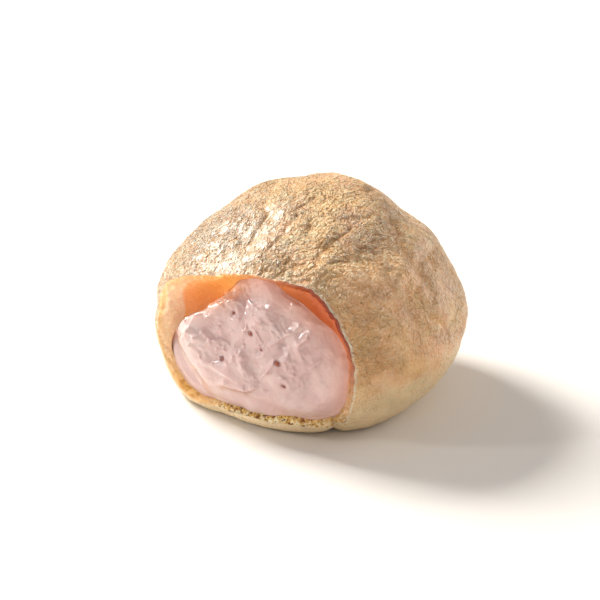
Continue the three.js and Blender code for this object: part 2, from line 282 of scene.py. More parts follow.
def ring_grain(clock, lumps, seed):
    """Noise round the clock: gradient noise read on a circle whose length is that many lumps."""
    radius = lumps / (2 * np.pi)
    circle = np.stack([radius * np.cos(clock), radius * np.sin(clock), np.full_like(clock, 0.37)], -1)
    return grain(circle, 1.0, seed)


CLEFT = dict(clock=320, half_turn=5, reach=3.2)  # all in degrees


def rim_off(clock):
    """The rim's angle off the axis: a curve through its table, a cleft at the foot, and the small nicks
    that the knife left, which are rougher where the skin is thin."""
    thin = 0.35 + bell_round(clock, 20, 50)
    nick = 0.25 * ring_grain(clock, 40, 3) + 0.45 * thin * ring_grain(clock, 110, 4)
    nick += 0.9 * thin * ramp(ring_grain(clock, 60, 5), 0.35, 0.6)
    cleft = CLEFT["reach"] * bell_round(clock, CLEFT["clock"], CLEFT["half_turn"])
    return np.radians(round_the_clock(RIM_DEGREES, clock) + cleft + nick)


def wall_thickness(clock, off):
    """The crust's thickness: a value at the rim that evens out behind it, plus the webs of dough, whose
    depth fades in over the last degrees before the lining begins and out again behind the rim."""
    behind = off - np.radians(round_the_clock(RIM_DEGREES, clock))
    even = ramp(behind, 0, WALL_REACH)
    inner = np.radians(round_the_clock(INNER_DEGREES, clock))
    web = (
        np.maximum(round_the_clock(WEB_DEPTH, clock), 0)
        * ramp(off - inner, -WEB_RISE, 0)
        * (1 - ramp(off, *WEB_END))
    )
    return round_the_clock(RIM_WALL, clock) * (1 - even) + BACK_WALL * even + web


CROWN = np.array([6.0, -14.0, 30.0])
SLANT = compass(-16, 43) - compass(-45, 70)  # down the left flank, where the wrinkles slant
SLANT = SLANT / np.linalg.norm(SLANT)
LEVEL = compass(120, 0)


def stretched(points):
    """The points squeezed along the way the wrinkles run, with a slight swirl, so that even noise read
    there comes out in streaks: down the left flank they slant, and over the top right they lie level."""
    from_crown = points - CROWN
    on_right = ramp(from_crown @ LEVEL, -14, 8)[..., None]
    along_slant = (from_crown @ SLANT)[..., None] * SLANT
    along_level = (from_crown @ LEVEL)[..., None] * LEVEL
    squeezed = from_crown - 0.35 * (1 - on_right) * along_slant - 0.3 * on_right * along_level
    swirl = np.stack([grain(points, 4, 11 + k) for k in range(3)], -1)
    return squeezed + 0.8 * swirl


ROUGH_FROM = (-16, 2)  # elevations over which the foot's smooth skin gives way to rough skin
CRINKLED_FROM = (-13, 7)  # and over which the crinkles set in, along a wandering line
CALM_SHARE, BACK_CALM_SHARE = 0.62, 0.45
# How much painted light the crease banks get where the key light falls.
PAINTED_LIGHT_ON_CREASES = 0.6


def patches(points, length, seed):
    """How strong the crinkles are from patch to patch, 0.3 to 1.2."""
    return 0.3 + 0.9 * ramp(grain(points, length, seed), -0.4, 0.4)


def skin(way):
    """The skin's points, then for the material how high each lies in the crinkles, how lively those are,
    how much the key light falls there, which carries painted highlight, and its place in the stretched
    grain. The relief for the material is lowered at the crease bottoms for painted shade and raised on
    the crease banks where the key light falls for painted light. Low swells are waves and folded waves.
    The crinkles are three sizes of pads in the stretched place, and fine noise. They fade below, where
    the foot has only low layered noise, and the creases are cut in last."""
    plain = plain_radius(way)
    points = way * plain[..., None]
    azimuth, elevation = azimuth_of(way), elevation_of(way)
    rough = ramp(elevation, *ROUGH_FROM)
    creases, bottom = creased(way, points)
    swells = 0.3 * waves(points, 17, 4.7) + 0.25 * (np.abs(waves(points, 11, 1.1)) - 0.8)

    # The right-hand side and the back are calmer than the top and the left.
    calm = bell(azimuth, 64, 56) * ramp(-elevation, -50, -30)
    wandering = elevation + 6 * grain(points, 9, 19) + 3 * grain(points, 4, 18)
    lively = ramp(wandering, *CRINKLED_FROM) * (1 - CALM_SHARE * calm)
    lively *= 1 - BACK_CALM_SHARE * bell_round(np.radians(azimuth), 180, 75)

    place = stretched(points)
    relief = 0.26 * (pads(place, 4.6, 21, 0.1) - 0.75)
    relief += 0.24 * patches(points, 9, 20) * (pads(place, 2.6, 23, 0.1) - 0.75)
    relief += 0.22 * patches(points, 7, 22) * (pads(place, 1.7, 25) - 0.7)
    relief += 0.08 * grain(points, 3.0, 29)
    relief = lively * relief * (1 - 0.5 * np.minimum(creases, 1))
    relief += rough * calm * 0.08 * layered(points, 2.6, 27)
    relief += (1 - rough) * ramp(elevation, -75, -50) * 0.14 * layered(points, 3.6, 55)
    height = plain + rough * swells - creases + relief
    placed = way * height[..., None] + HEART
    placed[..., 2] = np.maximum(placed[..., 2], 0)

    # Where the key light falls on the upper left: a mask for painted highlight. The relief is lowered at
    # the crease bottoms for painted shade and raised on the crease banks there for painted light.
    key_lit = bell_round(np.radians(azimuth), -34, 42) * bell(elevation, 50, 30)
    relief = relief - 0.8 * bottom + PAINTED_LIGHT_ON_CREASES * key_lit * (creases - bottom)
    return placed, relief, lively, key_lit, place


# The grid: columns go round the clock, closest together at the upper right; rows go from the back of
# the skin to the rim, over the cut face, and back along the lining.
CRUST_COLUMNS, SKIN_ROWS, CUT_ROWS, LINING_ROWS = 452, 164, 26, 24
CROWDING, CROWDED_CLOCK, CLOCK_STEPS = 0.4, radians(62), 4001
# All rows lie closer together near the rim.
SKIN_SPACING, CUT_SPACING, LINING_SPACING = 0.42, 1.25, 0.8

even_clock = np.linspace(0, 2 * np.pi, CLOCK_STEPS)
crowded = even_clock + CROWDING * (np.sin(even_clock - CROWDED_CLOCK) + np.sin(CROWDED_CLOCK))
clock_columns = np.interp(np.arange(CRUST_COLUMNS) / CRUST_COLUMNS * 2 * np.pi, crowded, even_clock)

v = np.linspace(0, 1, SKIN_ROWS + 1)[1:, None]
reach = v * (1 + SKIN_SPACING - SKIN_SPACING * v)
rim = rim_off(clock_columns)
skin_off = np.pi + (rim - np.pi) * reach
clock_grid = np.broadcast_to(clock_columns, skin_off.shape)
skin_way = about(clock_grid, skin_off)
skin_points, skin_relief, skin_lively, key_lit, skin_place = skin(skin_way)

# The front edge runs from the rim over the cut, which is a little rounded and full of holes at the foot,
# and then over the webs, which sag.
LEAST_WEB = radians(0.15)
cut_end = rim - np.radians(round_the_clock(CUT_DEGREES, clock_columns))
cut_way = about(clock_columns, cut_end)
cut_wall = round_the_clock(RIM_WALL, clock_columns)
cut_corner = cut_way * (plain_radius(cut_way) - cut_wall)[..., None] + HEART
edge = np.minimum(np.radians(round_the_clock(INNER_DEGREES, clock_columns)), cut_end - LEAST_WEB)
edge_way = about(clock_columns, edge)
edge_radius = plain_radius(edge_way) - wall_thickness(clock_columns, edge)
lining_edge = edge_way * edge_radius[..., None] + HEART
cut_length = np.linalg.norm(cut_corner - skin_points[-1], axis=-1)
web_length = np.linalg.norm(lining_edge - cut_corner, axis=-1)
run = np.linspace(0, 1, CUT_ROWS + 1)[1:, None] ** CUT_SPACING * (cut_length + web_length)
over_cut = np.clip(run / cut_length, 0, 1)
over_web = np.clip((run - cut_length) / web_length, 0, 1)
cut_points = (
    skin_points[-1]
    + over_cut[..., None] * (cut_corner - skin_points[-1])
    + over_web[..., None] * (lining_edge - cut_corner)
)
crumb = 0.04 + 0.96 * bell_round(clock_columns, 274, 62) ** 0.7
golden = bell_round(clock_columns, 221, 14)
crumb_grid = np.broadcast_to(crumb * (1 - 0.85 * golden), cut_points.shape[:2])
holes = ramp(grain(cut_points, 1.1, 41) + 0.5 * grain(cut_points, 0.6, 42), 0.05, 0.55)
tattered = (0.3 + 0.35 * crumb_grid) * layered(cut_points, 2.0, 44)
hump = np.sin(np.pi * over_cut) ** 0.8
slack = np.sin(np.pi * over_web) * np.minimum(web_length / BROAD_WEB, 1)
bulge = (EDGE_ROUND + tattered) * hump - HOLE_DEPTH * crumb_grid * holes * hump**0.5
bulge -= (WEB_SAG + 0.3 * grain(cut_points, 5, 47)) * slack
cut_points += bulge[..., None] * AXIS
cut_points[..., 2] = np.maximum(cut_points[..., 2], 0)

# The lining: smooth and faintly blistered.
BLISTER_END = (radians(80), radians(110))
t = np.linspace(0, 1, LINING_ROWS + 2)[1:, None] ** LINING_SPACING
lining_off = edge + (np.pi - edge) * t
lining_clock = np.broadcast_to(clock_columns, lining_off.shape)
lining_way = about(lining_clock, lining_off)
lining_radius = plain_radius(lining_way) - wall_thickness(lining_clock, lining_off)
lining_points = lining_way * lining_radius[..., None]
blister = 0.25 * ramp(t, 0, 0.1) * (1 - ramp(lining_off, *BLISTER_END))
blister *= layered(lining_points, 6, 51, 2)
lining_points = lining_way * (lining_radius + blister)[..., None] + HEART


def closed_grid(name, rows, pole_first, pole_last, attributes, sharp_row=None):
    """A closed surface from rows of points that wrap round, with a pole before the first row and one
    after the last: quads between rows, triangles at the poles. Points come in mm and are put in m.
    Attributes are a number or a vector for each point. Edges along the sharp row aren't smoothed."""
    count, columns = rows.shape[:2]
    vertices = np.concatenate([rows.reshape(-1, 3), [pole_first, pole_last]]) * MM
    ring = np.arange(columns)
    following = (ring + 1) % columns
    row = np.arange(count - 1)[:, None] * columns
    quads = np.stack([row + ring, row + following, row + columns + following, row + columns + ring], -1)
    first, last = count * columns, count * columns + 1
    bottom = (count - 1) * columns
    caps = np.concatenate([
        np.stack([np.full(columns, first), following, ring], -1),
        np.stack([np.full(columns, last), bottom + ring, bottom + following], -1),
    ])
    quads = quads.reshape(-1, 4)
    mesh = bpy.data.meshes.new(name)
    mesh.vertices.add(len(vertices))
    mesh.vertices.foreach_set("co", vertices.astype(np.float32).ravel())
    loops = np.concatenate([quads.ravel(), caps.ravel()]).astype(np.int32)
    starts = np.concatenate([np.arange(len(quads)) * 4, len(quads) * 4 + np.arange(len(caps)) * 3])
    mesh.loops.add(len(loops))
    mesh.loops.foreach_set("vertex_index", loops)
    mesh.polygons.add(len(starts))
    mesh.polygons.foreach_set("loop_start", starts.astype(np.int32))
    mesh.polygons.foreach_set("use_smooth", np.ones(len(starts), bool))
    for key, values in attributes.items():
        flat = values.reshape(count * columns, -1)
        whole = np.concatenate([flat, flat[:1], flat[-1:]]).astype(np.float32)
        kind, field = ("FLOAT", "value") if flat.shape[1] == 1 else ("FLOAT_VECTOR", "vector")
        mesh.attributes.new(key, kind, "POINT").data.foreach_set(field, whole.ravel())
    mesh.update(calc_edges=True)
    mesh.validate()
    if sharp_row is not None:
        ends = np.zeros(len(mesh.edges) * 2, np.int32)
        mesh.edges.foreach_get("vertices", ends)
        sharp = (ends.reshape(-1, 2) // columns == sharp_row).all(1)
        mesh.attributes.new("sharp_edge", "BOOLEAN", "EDGE").data.foreach_set("value", sharp)
    piece = bpy.data.objects.new(name, mesh)
    bpy.context.scene.collection.objects.link(piece)
    return piece


def stacked(skin_part, cut_part, lining_part):
    """One array for the whole grid from its skin, cut and lining rows, each a grid or a number."""
    parts = (skin_part, cut_part, lining_part)
    shapes = (skin_off.shape, cut_points.shape[:2], lining_off[:-1].shape)
    return np.concatenate([np.broadcast_to(part, shape) for part, shape in zip(parts, shapes)])


def by_clock(middle, half_turn):
    """A bell of the clock angle in degrees, for the cut and for the lining."""
    bells = [bell_round(clock, middle, half_turn) for clock in (clock_columns, lining_clock[:-1])]
    return stacked(0, *bells)


# The skin's own edge shows as a ragged pale line, most of all down the right: partly its own pale
# colour, partly a painted highlight where the edge catches the light.
edge_weight = 0.15 + 0.95 * bell_round(clock_columns, 8, 58)
edge_weight += 0.35 * bell_round(clock_columns, 265, 40)
edge_weight *= 0.9 + 0.9 * ring_grain(clock_columns, 150, 9)

# Where the skin is toasted or milky, where painted light makes it creamy, and how the back and the left
# of the foot differ.
skin_azimuth, skin_elevation = np.radians(azimuth_of(skin_way)), elevation_of(skin_way)
milky = bell_round(skin_azimuth, -75, 30) * bell(skin_elevation, 33, 26)
toasted = bell_round(skin_azimuth, 62, 44) * bell(skin_elevation, 24, 24)
# Below the opening, where the skin faces down, it gets painted light.
lip = bell_round(skin_azimuth, -12, 46) * ramp(-skin_elevation, 14, 26)
left_foot = bell_round(skin_azimuth, -126, 52) * ramp(-skin_elevation, -12, 22)
back = np.maximum(bell_round(skin_azimuth, -165, 62), left_foot)

flesh_width = round_the_clock(FLESH_WIDTH, clock_columns) * cut_length
rear_pole = skin(about(np.zeros(1), np.array([np.pi])))[0][0]
on_the_skin = dict(
    lively=skin_lively, key_lit=key_lit, toasted=toasted, milky=milky, lip=lip, back=back
)
attributes = {key: stacked(values, 0, 0) for key, values in on_the_skin.items()}
attributes |= {
    "relief": stacked(skin_relief, -0.5 * crumb_grid * holes, 0),
    "place": np.concatenate([skin_place, cut_points, lining_points[:-1]]) * MM,
    "skin_edge": stacked(
        edge_weight * ramp(skin_off - rim, radians(0.9), 0),
        edge_weight * (1 - ramp(run, 0.05, 0.25)),
        0,
    ),
    "across": stacked(0, over_cut, 1),
    "run": stacked(0, np.minimum(run, 10), 10),
    "left_side": by_clock(180, 42),
    "golden_side": stacked(0, golden, 0),
    "cut": stacked(0, ramp(run, 0, 0.3), 1),
    "inner": stacked(0, ramp(run - flesh_width, 0, 0.6), 1),
    "crumb": stacked(0, crumb_grid, crumb * (1 - ramp(t[:-1], 0, 0.08))),
    "shade_side": by_clock(28, 42),
    "glow_top": by_clock(118, 36),
}
crust = closed_grid(
    "choux_bun",
    np.concatenate([skin_points, cut_points, lining_points[:-1]]),
    rear_pole,
    lining_points[-1].mean(0),
    attributes,
    sharp_row=SKIN_ROWS - 1,
)


class Paint:
    """A material's node tree, written as calls: each makes one node or a few and returns the output.
    Lengths come in mm, and places are on the piece itself."""

    def __init__(self, name):
        self.material = bpy.data.materials.new(name)
        self.material.use_nodes = True
        self.tree = self.material.node_tree
        self.shader = self.tree.nodes["Principled BSDF"]
        self.place = self.tree.nodes.new("ShaderNodeTexCoord").outputs["Object"]

    def put(self, value, socket):
        """Links an output to a socket, or sets a plain value on it."""
        if isinstance(value, bpy.types.NodeSocket):
            self.tree.links.new(value, socket)
        else:
            socket.default_value = value

    def node(self, kind, inputs=(), **settings):
        made = self.tree.nodes.new(kind)
        for key, value in settings.items():
            setattr(made, key, value)
        for key, value in dict(inputs).items():
            self.put(value, made.inputs[key])
        return made

    def maths(self, operation, a, b=0.0, clamp=False):
        return self.node("ShaderNodeMath", {0: a, 1: b}, operation=operation, use_clamp=clamp).outputs[0]

    def plus(self, a, b, clamp=False):
        return self.maths("ADD", a, b, clamp)

    def minus(self, a, b):
        return self.maths("SUBTRACT", a, b)

    def times(self, a, b):
        return self.maths("MULTIPLY", a, b)

    def vector(self, operation, a, b, output="Vector"):
        second = "Scale" if operation == "SCALE" else 1
        return self.node("ShaderNodeVectorMath", {0: a, second: b}, operation=operation).outputs[output]

    def between(self, value, low, high, out_low=0.0, out_high=1.0):
        """A smooth step from one value to another while the input goes from low to high."""
        inputs = {0: value, 1: low, 2: high, 3: out_low, 4: out_high}
        return self.node("ShaderNodeMapRange", inputs, interpolation_type="SMOOTHSTEP").outputs[0]

    def mix(self, share, a, b):
        made = self.node("ShaderNodeMix", data_type="RGBA")
        self.put(share, made.inputs[0])
        for key, color in ((6, a), (7, b)):
            self.put((*color, 1.0) if isinstance(color, tuple) else color, made.inputs[key])
        return made.outputs[2]

    def layers(self, color, *over):
        """A base colour with others laid over it in turn, each given as a share and a colour."""
        for share, tint in over:
            color = self.mix(share, color, tint)
        return color

    def attribute(self, name, output="Fac"):
        return self.node("ShaderNodeAttribute", attribute_name=name).outputs[output]

    def moved(self, place, *by):
        return self.node("ShaderNodeMapping", {"Vector": place, "Location": by}).outputs[0]

    def noise(self, length, detail=3.0, seed=0.0, rough=0.55, place=None, distortion=0.0):
        inputs = {
            "Vector": self.moved(place or self.place, seed, seed * 1.7, -seed),
            "Scale": 1 / (length * MM),
            "Detail": detail,
            "Roughness": rough,
            "Distortion": distortion,
        }
        return self.node("ShaderNodeTexNoise", inputs).outputs["Fac"]

    def warped(self, place, length, by, seed):
        """The place, pushed about by noise."""
        inputs = {"Vector": place, "Scale": 1 / (length * MM), "Detail": 2.0, "W": seed}
        noise = self.node("ShaderNodeTexNoise", inputs, noise_dimensions="4D").outputs["Color"]
        off = self.vector("SUBTRACT", noise, (0.5, 0.5, 0.5))
        return self.vector("ADD", place, self.vector("SCALE", off, 2 * by * MM))

    def off_middle(self, noise):
        """How far noise lies from its middle value, which draws lines where it crosses it."""
        return self.maths("ABSOLUTE", self.minus(noise, 0.5))

    def pads(self, length, seed, place, width):
        """Pads, at 1, with narrow creases between them, at 0."""
        return self.between(self.off_middle(self.noise(length, 1.0, seed, 0.4, place)), 0.0, width)

    def facets(self, length, seed, place):
        """Flat facets that meet in sharp valleys, at 0, and rise to about 1."""
        return self.times(self.off_middle(self.noise(length, 1.5, seed, 0.5, place)), 5.0)

    def flakes(self, length, seed, place, width):
        """Flakes, at 1, with cracks between them, at 0."""
        inputs = {"Vector": self.moved(place, seed, seed, -seed), "Scale": 1 / (length * MM)}
        away = self.node("ShaderNodeTexVoronoi", inputs, feature="DISTANCE_TO_EDGE").outputs["Distance"]
        return self.between(away, 0.0, width)

    def spots(self, length, seed):
        """How far each point is from the nearest of scattered points, in lengths."""
        inputs = {"Vector": self.moved(self.place, seed, -seed, seed), "Scale": 1 / (length * MM)}
        return self.node("ShaderNodeTexVoronoi", inputs).outputs["Distance"]

    def bump(self, height, distance, strength, onto=None):
        inputs = {"Height": height, "Distance": distance * MM, "Strength": strength}
        if onto is not None:
            inputs["Normal"] = onto
        return self.node("ShaderNodeBump", inputs).outputs[0]

    def finish(self, color, roughness, normal, **sockets):
        """Sets the shader. Its other sockets are named with underscores for spaces."""
        sockets.update(Base_Color=color, Roughness=roughness, Normal=normal)
        for key, value in sockets.items():
            self.put(value, self.shader.inputs[key.replace("_", " ")])
        return self.material


def shade(*srgb):
    """A colour given in the usual 0-255 steps, as linear light."""
    c = np.array(srgb) / 255
    return tuple(np.where(c <= 0.04045, c / 12.92, ((c + 0.055) / 1.055) ** 2.4))


GOLDEN = shade(250, 207, 147)
ROSY = shade(247, 193, 148)
TAN = shade(228, 175, 110)
TOASTED = shade(238, 179, 124)
BROWN = shade(212, 142, 62)
PALE = shade(236, 208, 160)
# The creamy tone is painted light below the opening.
PAINTED_LIGHT_CREAMY = shade(255, 228, 182)
# The straw tone is a painted highlight.
PAINTED_LIGHT_STRAW = shade(255, 247, 230)
# The sunny tone is a painted highlight on ridges.
PAINTED_RIDGE_LIGHT = shade(255, 237, 192)
MILKY = shade(180, 162, 142)
HONEY_TAN = shade(226, 182, 132)
CRACK = shade(196, 136, 70)
BISCUIT = shade(206, 160, 112)
# The groove tone is painted shade in the grooves.
PAINTED_GROOVE_SHADE = shade(220, 152, 74)
PORE = shade(120, 78, 44)

DRAWN_OUT = 0.5  # how far the thin wrinkles of the left flank are stretched along it
MEAN_CRINKLE = 0.84
FOOT_PATCHES = 0.03  # in metres, how far patches raise the foot's wavering top edge
FOOT_TOP = (0.027, 0.041)  # and the heights over which the pale foot gives way to the baked skin

paint = Paint("baked_choux")
relief, lively, key_lit, milky, back, cut = map(
    paint.attribute, ("relief", "lively", "key_lit", "milky", "back", "cut")
)
place = paint.attribute("place", "Vector")
height = paint.node("ShaderNodeSeparateXYZ", {0: paint.place}).outputs[2]
patchy = paint.noise(13, 3, 2.0)
rosy = paint.noise(9, 3, 6.0)
mottled = paint.noise(2.6, 4, 5.0, 0.65)
fine = paint.noise(0.9, 3, 8.0)

# Crinkles finer than the mesh: narrow creases, facets that meet in valleys, and a sandy grain.
narrow = paint.pads(2.1, 3.0, place, 0.1)
facets = paint.minus(paint.facets(1.5, 6.0, paint.place), paint.facets(1.1, 16.0, paint.place))
grainy = paint.noise(0.7, 3, 1.0, 0.75)
crinkle = paint.plus(paint.times(narrow, 0.3), paint.times(facets, 0.45))
crinkle = paint.plus(crinkle, paint.times(grainy, 1.3))

# Thin wrinkles run down the left flank, where the key light falls or the skin is milky.
along = paint.times(paint.vector("DOT_PRODUCT", place, tuple(SLANT), "Value"), DRAWN_OUT)
drawn_out = paint.vector("SUBTRACT", place, paint.vector("SCALE", tuple(SLANT), along))
thin = paint.minus(paint.facets(1.5, 21.0, drawn_out), 0.4)
thin = paint.times(thin, paint.plus(key_lit, milky, clamp=True))
folds = paint.minus(paint.plus(crinkle, paint.times(thin, 0.5)), MEAN_CRINKLE)

# Flakes with cracks between them, but none at the back and on the left of the foot.
flakes = paint.flakes(3.0, 0.3, paint.warped(paint.place, 2.4, 1.2, 3.0), 0.09)
flakes = paint.maths("MAXIMUM", flakes, back)

# Pale at the foot, golden above, with rosy, tan and toasted patches.
toasted_share = paint.between(paint.noise(5, 3, 4.0), 0.3, 0.62, 0.3, 1)
golden_skin = paint.layers(
    GOLDEN,
    (paint.between(rosy, 0.42, 0.62), ROSY),
    (paint.between(patchy, 0.45, 0.66, 0, 0.8), TAN),
    (paint.times(paint.attribute("toasted"), toasted_share), TOASTED),
)
foot = paint.mix(paint.between(paint.noise(3.6, 3, 21.0, 0.6), 0.48, 0.68, 0, 0.5), PALE, HONEY_TAN)
baked = paint.between(paint.plus(height, paint.times(patchy, FOOT_PATCHES)), *FOOT_TOP)
# Painted light makes the skin creamy below the opening. It is biscuit-coloured at the back, lighter
# with painted highlight and milky on the key-lit left flank, with patches of honey, and browner mottling
# all over.
honeyed = paint.between(paint.noise(3.2, 3, 14.0, 0.6, place), 0.5, 0.6, 0, 0.9)
color = paint.layers(
    paint.mix(baked, foot, golden_skin),
    (paint.times(paint.attribute("lip"), 0.9), PAINTED_LIGHT_CREAMY),
    (paint.times(back, paint.between(patchy, 0.3, 0.6, 0.35, 0.85)), BISCUIT),
    (paint.times(key_lit, 0.6), PAINTED_LIGHT_STRAW),
    (paint.times(milky, 0.75), MILKY),
    (paint.times(honeyed, key_lit), HONEY_TAN),
    (paint.times(paint.between(mottled, 0.5, 0.74, 0, 0.4), baked), BROWN),
)
# Ridges get a straw painted highlight, grooves a brown painted shade, and the cracks between flakes
# are browner. Pin-point pores come last.
liveliness = paint.between(lively, 0, 1, 0.12, 1)
tone = paint.plus(folds, relief)
pores = paint.times(
    paint.between(paint.spots(2.6, 3.0), 0.16, 0.08),
    paint.between(paint.noise(9, 2, 9.0), 0.52, 0.62),
)
color = paint.layers(
    color,
    (paint.times(paint.between(tone, -0.2, 0.4, 0, 0.5), liveliness), paint.mix(key_lit, PAINTED_RIDGE_LIGHT, PAINTED_LIGHT_STRAW)),
    (paint.times(paint.between(tone, 0.1, -0.45, 0, 0.45), liveliness), PAINTED_GROOVE_SHADE),
    (paint.times(paint.between(flakes, 1, 0, 0, 0.5), liveliness), CRACK),
    (paint.times(pores, 0.55), PORE),
)

# The cut wall: peach and moist on the left, a golden crumb with brown holes at the foot, and orange on
# the top and right, where the glow of light coming through the wall is painted in, with painted shade
# in red-orange down the right. The skin's own edge is a thin pale line, partly a painted highlight.
PEACH = shade(236, 190, 154)
PINK_PEACH = shade(236, 184, 158)
HONEY = shade(216, 150, 88)
AMBER = shade(250, 196, 116)
DARK_AMBER = shade(214, 152, 56)
CRUMB = shade(236, 192, 98)
# Brown pores, with painted shade in the holes.
CRUMB_PORE_AND_SHADE = shade(156, 94, 22)
# Pale cell walls, partly painted highlight.
CRUMB_PALE_AND_HIGHLIGHT = shade(255, 240, 200)
# Partly the dough's own orange, partly painted glow.
ORANGE = shade(234, 134, 70)
# Painted glow of light through the top wall.
GLOW_ORANGE = shade(255, 176, 86)
# Painted shade in red-orange down the right.
SHADED_RED_ORANGE = shade(204, 92, 28)
# Painted shadow just inside the rim.
SHADOW_RED = shade(120, 28, 0)
# The pale edge colour, which also serves as painted highlight.
PALE_EDGE_AND_HIGHLIGHT = shade(255, 240, 214)
crumb_amount, shade_side, glow_top, left_side, across = map(
    paint.attribute, ("crumb", "shade_side", "glow_top", "left_side", "across")
)
blotch = paint.noise(3.2, 3, 11.0, 0.6)
# From the skin inward: a honey-coloured line, then moist peach flesh that is pinker where it is thin,
# with pale flecks that are painted wet highlights.
honey = paint.between(paint.plus(across, paint.times(blotch, 0.6)), 0.95, 0.5)
flesh = paint.layers(
    PEACH,
    (paint.between(blotch, 0.4, 0.62), PINK_PEACH),
    (paint.times(honey, left_side), HONEY),
    # Pale flecks: painted wet highlights.
    (paint.times(paint.between(fine, 0.56, 0.7, 0, 0.6), left_side), PALE_EDGE_AND_HIGHLIGHT),
)
# The crumb has pale cell walls, partly painted highlight, brown pores and painted shade in its holes,
# and an amber patch on the left of the foot.
pale_highlit_cells = paint.between(paint.plus(fine, paint.times(across, 0.1)), 0.58, 0.48, 0, 0.9)
in_hole = paint.maths(
    "MAXIMUM", paint.between(relief, -0.08, -0.4), paint.between(fine, 0.56, 0.68, 0, 0.9)
)
open_crumb = paint.between(crumb_amount, 0.45, 0.85)
amber_share = paint.times(paint.attribute("golden_side"), paint.between(across, 0.1, 0.35))
amber = paint.mix(paint.between(paint.noise(2.4, 2, 13.0), 0.45, 0.62), AMBER, DARK_AMBER)
wall = paint.layers(
    flesh,
    (crumb_amount, CRUMB),
    (paint.times(pale_highlit_cells, crumb_amount), CRUMB_PALE_AND_HIGHLIGHT),
    (paint.times(in_hole, open_crumb), CRUMB_PORE_AND_SHADE),
    (amber_share, amber),
    (glow_top, GLOW_ORANGE),
    (shade_side, SHADED_RED_ORANGE),
)
# The lining: its own orange with painted glow, brightest at the top, and painted shade down the right.
inside = paint.layers(
    ORANGE, (crumb_amount, CRUMB), (glow_top, GLOW_ORANGE), (shade_side, SHADED_RED_ORANGE)
)
# Just inside the rim a ragged dark red line of painted shadow runs down the right.
ragged = paint.plus(paint.attribute("run"), paint.times(fine, 2.4))
shadow_line = paint.times(paint.between(ragged, 3.9, 3.2), paint.between(across, 0.02, 0.15))
wall = paint.layers(
    wall,
    (paint.attribute("inner"), inside),
    (paint.times(paint.times(shadow_line, shade_side), 0.9), SHADOW_RED),
)
# Last the skin's pale edge line, partly a painted highlight.
color = paint.layers(
    color, (cut, wall), (paint.maths("MINIMUM", paint.attribute("skin_edge"), 0.92), PALE_EDGE_AND_HIGHLIGHT)
)

# The skin is drier in its grooves than on its ridges, and has a faint glaze that the cut wall lacks.
# Its folds are dense in some patches and faint in others.
CUT_ROUGHNESS, GLAZE = 0.36, 0.22
roughness = paint.between(tone, -0.3, 0.3, 0.6, 0.34)
roughness = paint.node("ShaderNodeMix", {0: cut, 2: roughness, 3: CUT_ROUGHNESS}).outputs[0]
on_skin = paint.minus(1.0, cut)
dense = paint.between(paint.noise(5.5, 2, 31.0, 0.55, place), 0.36, 0.62, 0.65, 1.25)
bumps = paint.times(paint.plus(folds, paint.times(flakes, 0.3)), dense)
bumps = paint.times(paint.times(bumps, paint.between(lively, 0, 1, 0.26, 1)), on_skin)
pitted = paint.times(paint.noise(0.8, 2, 12.0, 0.6), paint.times(cut, crumb_amount))
normal = paint.bump(bumps, 1.4, 1.0)
normal = paint.bump(fine, 0.2, 0.7, normal)
normal = paint.bump(pitted, 1.2, 1.0, normal)
crust.data.materials.append(
    paint.finish(
        color,
        roughness,
        normal,
        Subsurface_Weight=0.1,
        Subsurface_Scale=0.0006,
        Subsurface_Radius=(1.0, 0.6, 0.4),
        Specular_IOR_Level=0.55,
        Coat_Weight=paint.times(on_skin, GLAZE),
        Coat_Roughness=0.22,
    )
)
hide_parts("crust")
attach(crust, "root")

# ---- The cream ----------------------------------------------------------------------------------
# Strawberry cream, whipped and piped into the bun until it fills it. The knife dragged its face into
# soft lumps, ridges and smears. It clings to the wall, and leaves the webs of dough free at the upper
# left and down the right.

